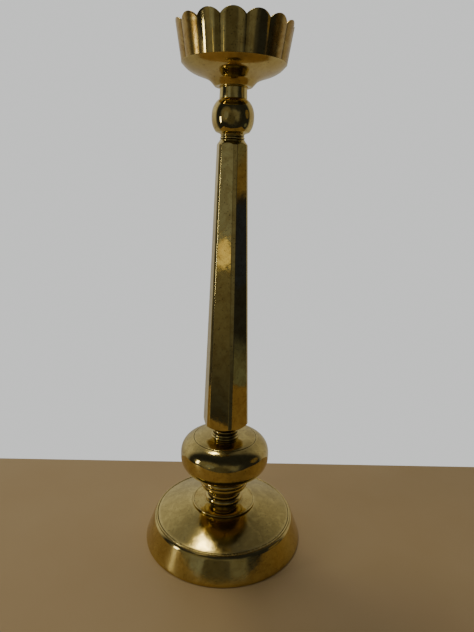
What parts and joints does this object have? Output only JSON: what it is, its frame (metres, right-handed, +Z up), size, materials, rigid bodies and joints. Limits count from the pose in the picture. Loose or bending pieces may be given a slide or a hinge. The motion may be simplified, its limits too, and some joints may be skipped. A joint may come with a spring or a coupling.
{
  "type": "altar candlestick",
  "caption": "Tall brass altar candlestick: round hollow foot, knop, tapered hexagonal column, ball and a scalloped cup with a pricket, held by one tie rod.",
  "frame": {"origin": "centre of the foot's resting face, on the axis of the tie rod", "axes": "+Z up along the tie rod, -Y towards the front, +X to the front viewer's right"},
  "size_m": [0.202, 0.202, 0.6112],
  "materials": {
    "foot_brass": "aged polish, mottled on the plate",
    "turned_brass": "aged polish",
    "knop_brass": "aged polish, dull on the shoulder",
    "column_brass": "aged polish, slightly wavy faces",
    "ball_brass": "bright polish",
    "cup_brass": "aged polish",
    "gallery_brass": "bright polish on the flutes, darker inside",
    "pricket_brass": "turned, worn by candles",
    "plate_iron": "dark, lightly rusted",
    "zinc_steel": "zinc plated",
    "spring_steel": "black oxide",
    "rod_steel": "plain threaded rod"
  },
  "bodies": {
    "stand": {"base_shell": "foot_brass", "clamp_plate": "plate_iron", "tie_rod": "rod_steel", "stem_flange": "turned_brass", "reeded_collar": "turned_brass", "knop": "knop_brass", "knop_neck": "turned_brass", "column": "column_brass", "column_neck": "turned_brass", "ball_knop": "ball_brass", "neck_tube": "turned_brass"},
    "cup": {"cup_dish": "cup_brass", "cup_gallery": "gallery_brass"},
    "pricket_washer_body": {"pricket_washer": "cup_brass"},
    "pricket_body": {"pricket": "pricket_brass"},
    "washers_body": {"flat_washer": "zinc_steel", "spring_washer": "spring_steel"},
    "nut_body": {"base_nut": "zinc_steel"}
  },
  "joints": [
    {"name": "cup_turn", "type": "hinge", "parent": "stand", "child": "cup", "pos_m": [0, 0, 0.553], "axis": [0, 0, 1], "continuous": true},
    {"name": "pricket_lift", "type": "slide", "parent": "stand", "child": "pricket_washer_body", "axis": [0, 0, 1], "range_m": [0, 0.0075]},
    {"name": "pricket_turn", "type": "hinge", "parent": "pricket_washer_body", "child": "pricket_body", "pos_m": [0, 0, 0.5628], "axis": [0, 0, 1], "range_deg": [0, 2160.1]},
    {"name": "nut_travel", "type": "slide", "parent": "stand", "child": "washers_body", "axis": [0, 0, -1], "range_m": [0, 0.01]},
    {"name": "nut_turn", "type": "hinge", "parent": "washers_body", "child": "nut_body", "pos_m": [0, 0, 0.0377], "axis": [0, 0, -1], "range_deg": [0, 2880.1]}
  ],
  "couplings": [
    {"joint": "pricket_turn", "follows": "pricket_lift", "rad_per_m": 5026.5},
    {"joint": "nut_turn", "follows": "nut_travel", "rad_per_m": 5026.5}
  ]
}
